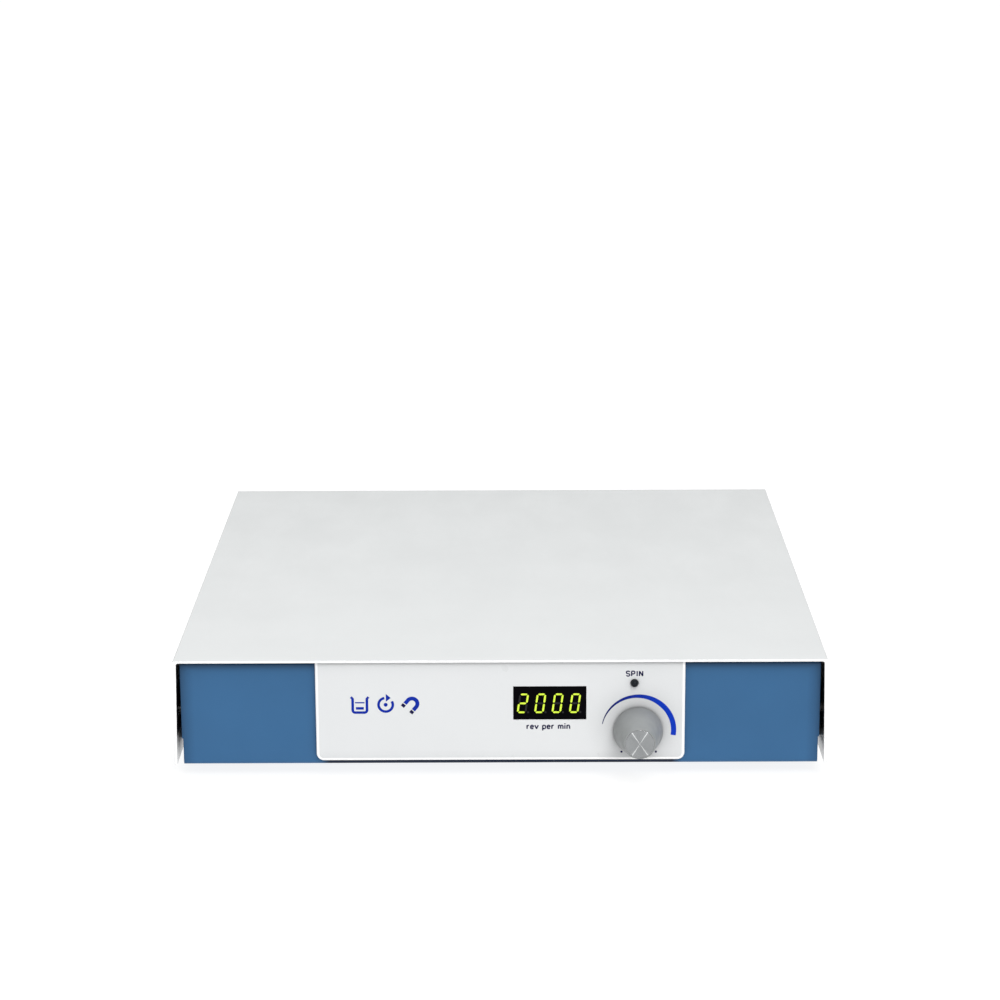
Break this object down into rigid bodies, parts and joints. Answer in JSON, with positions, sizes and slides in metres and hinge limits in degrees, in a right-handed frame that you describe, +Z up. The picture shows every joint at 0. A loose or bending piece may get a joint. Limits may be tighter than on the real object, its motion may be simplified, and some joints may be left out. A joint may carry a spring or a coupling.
{
  "type": "magnetic stirrer",
  "caption": "Wide flat bench magnetic stirrer: white top plate over a blue tray, white control panel with a digital speed display, status light and tapered speed knob.",
  "frame": {"origin": "bottom centre of the overall bounding box, on the bench", "axes": "+Z up, the control panel and knob face -Y, +X to the right seen from the front"},
  "size_m": [0.2692, 0.2954, 0.05],
  "materials": {
    "white_paint": "gloss white enamel",
    "blue_paint": "satin blue enamel",
    "zinc_steel": "zinc plated",
    "rubber": "matt black",
    "white_plastic": "satin white moulding",
    "display_black": "dark tinted face",
    "segment_lit": "lit yellow-green diffuser",
    "segment_unlit": "unlit diffuser",
    "led_dark": "dark unlit lens",
    "circuit_board": "green solder mask",
    "grey_plastic": "fine satin grey",
    "aluminium": "turned, concentric grain",
    "steel": "plain",
    "brass": "plain",
    "copper": "enamelled copper and steel laminations",
    "ferrite": "dark ceramic magnet",
    "magnet": "nickel plated",
    "carbon": "carbon",
    "black_plastic": "fine texture",
    "white_nylon": "plain",
    "chip_black": "plain",
    "capacitor_sleeve": "printed sleeve and yellow film cases",
    "wire_insulation": "brown and blue insulation",
    "earth_insulation": "green with a yellow stripe",
    "signal_insulation": "coloured insulation",
    "printed_ink": "screen-printed ink on the control panel",
    "glass": "clear tube with metal ends"
  },
  "bodies": {
    "case": {"top_cover": "white_paint", "base_tray": "blue_paint", "cover_screws": "zinc_steel", "rubber_feet": "rubber", "foot_screws": "zinc_steel", "control_panel": "white_plastic", "lit_segments": "segment_lit", "unlit_segments": "segment_unlit", "display_module": "display_black", "display_board": "circuit_board", "display_spacers": "white_nylon", "status_light": "led_dark", "rotary_control": "zinc_steel", "control_washer": "zinc_steel", "control_nut": "zinc_steel", "motor_bracket": "zinc_steel", "motor_posts": "aluminium", "rubber_isolators": "rubber", "bracket_screws": "zinc_steel", "motor_can": "zinc_steel", "motor_end_cap": "black_plastic", "motor_bushes": "brass", "field_magnets": "ferrite", "motor_brushes": "carbon", "speed_sensor": "circuit_board", "mains_inlet": "black_plastic", "inlet_pins": "brass", "inlet_screws": "zinc_steel", "switch_body": "black_plastic", "switch_terminals": "brass", "control_board": "circuit_board", "power_board": "circuit_board", "board_standoffs": "brass", "control_chips": "chip_black", "power_transformer": "ferrite", "capacitors": "capacitor_sleeve", "heat_sink": "aluminium", "mains_wires": "wire_insulation", "earth_wire": "earth_insulation", "earth_stud": "brass", "signal_wires": "signal_insulation", "front_panel_wires": "signal_insulation", "hex_nuts": "zinc_steel", "board_screws": "zinc_steel", "board_connectors": "white_nylon"},
    "knob": {"speed_knob": "grey_plastic", "knob_disc": "aluminium", "knob_grub_screw": "steel", "control_shaft": "aluminium"},
    "rotor": {"armature": "copper", "commutator": "brass", "motor_shaft": "steel", "magnet_hub": "aluminium", "hub_grub_screw": "steel", "steel_yoke": "steel", "magnet_carrier": "white_nylon", "drive_magnets": "magnet"},
    "rocker": {"switch_rocker": "black_plastic"},
    "drawer": {"fuse_drawer": "black_plastic", "glass_fuse": "glass"}
  },
  "joints": [
    {"name": "speed_knob_turn", "type": "hinge", "parent": "case", "child": "knob", "pos_m": [0.05595, -0.1315, 0.0197], "axis": [0, 1, 0], "range_deg": [-290, 0]},
    {"name": "magnet_spin", "type": "hinge", "parent": "case", "child": "rotor", "pos_m": [0, 0.0073, 0.035], "axis": [0, 0, 1], "continuous": true},
    {"name": "power_rocker", "type": "hinge", "parent": "case", "child": "rocker", "pos_m": [0.048, 0.1413, 0.0257], "axis": [1, 0, 0], "range_deg": [-16, 0]},
    {"name": "fuse_drawer_slide", "type": "slide", "parent": "case", "child": "drawer", "axis": [0, 1, 0], "range_m": [0, 0.015]}
  ]
}
